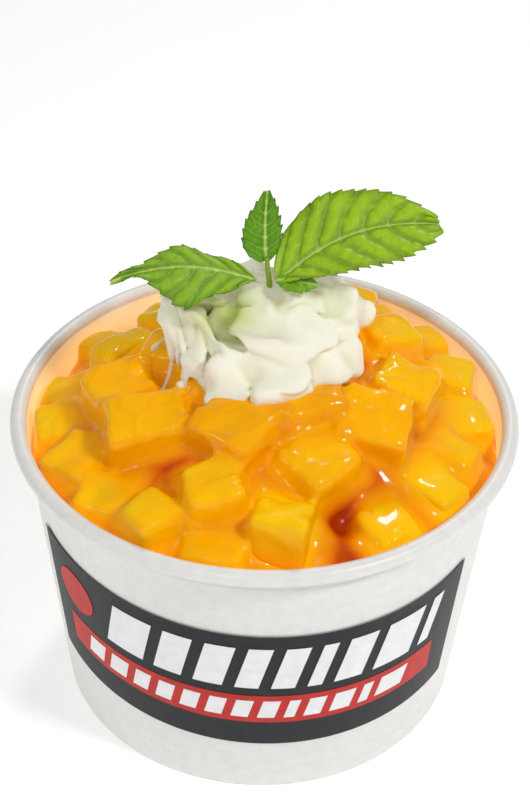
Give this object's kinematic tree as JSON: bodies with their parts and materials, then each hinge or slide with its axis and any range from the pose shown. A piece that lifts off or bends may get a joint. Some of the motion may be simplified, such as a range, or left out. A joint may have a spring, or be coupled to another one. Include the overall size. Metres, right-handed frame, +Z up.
{
  "type": "mango shaved ice dessert",
  "caption": "Shaved ice dessert in a paper cup, heaped with sauced mango dice and topped with whipped cream and a sprig of mint.",
  "frame": {"origin": "middle of the cup's foot, on the surface it stands on", "axes": "+Z up; the label faces -Y; +X to the right of a viewer who faces the label"},
  "size_m": [0.1118, 0.1118, 0.1244],
  "materials": {
    "cup_paper": "white coated paper board, smooth, slightly glossy",
    "label": "printed paper label, dark grey with plain coloured bands",
    "mango_sauce": "ice soaked in clear amber mango sauce, wet",
    "mango": "ripe mango flesh, wet with sauce",
    "cream": "whipped cream, soft and moist",
    "mint": "fresh mint leaf, quilted and faintly waxy"
  },
  "bodies": {
    "root": {"cream_dollop": "cream", "cup_bottom": "cup_paper", "cup_wall": "cup_paper", "label": "label", "mango_dice_01": "mango", "mango_dice_02": "mango", "mango_dice_03": "mango", "mango_dice_04": "mango", "mango_dice_05": "mango", "mango_dice_06": "mango", "mango_dice_07": "mango", "mango_dice_08": "mango", "mango_dice_09": "mango", "mango_dice_10": "mango", "mango_dice_11": "mango", "mango_dice_12": "mango", "mango_dice_13": "mango", "mango_dice_14": "mango", "mango_dice_15": "mango", "mango_dice_16": "mango", "mango_dice_17": "mango", "mango_dice_18": "mango", "mango_dice_19": "mango", "mango_dice_20": "mango", "mango_dice_21": "mango", "mango_dice_22": "mango", "mango_dice_23": "mango", "mango_dice_24": "mango", "mango_dice_25": "mango", "mango_dice_26": "mango", "mango_dice_27": "mango", "mango_dice_28": "mango", "mango_dice_29": "mango", "mango_dice_30": "mango", "mango_dice_31": "mango", "mango_dice_32": "mango", "mango_dice_33": "mango", "mango_dice_34": "mango", "mango_dice_35": "mango", "mango_dice_36": "mango", "mango_dice_37": "mango", "mango_dice_38": "mango", "mango_dice_39": "mango", "mint_leaf_centre": "mint", "mint_leaf_left": "mint", "mint_leaf_right": "mint", "mint_leaf_small": "mint", "mint_stem": "mint", "sauced_ice": "mango_sauce"}
  },
  "joints": []
}
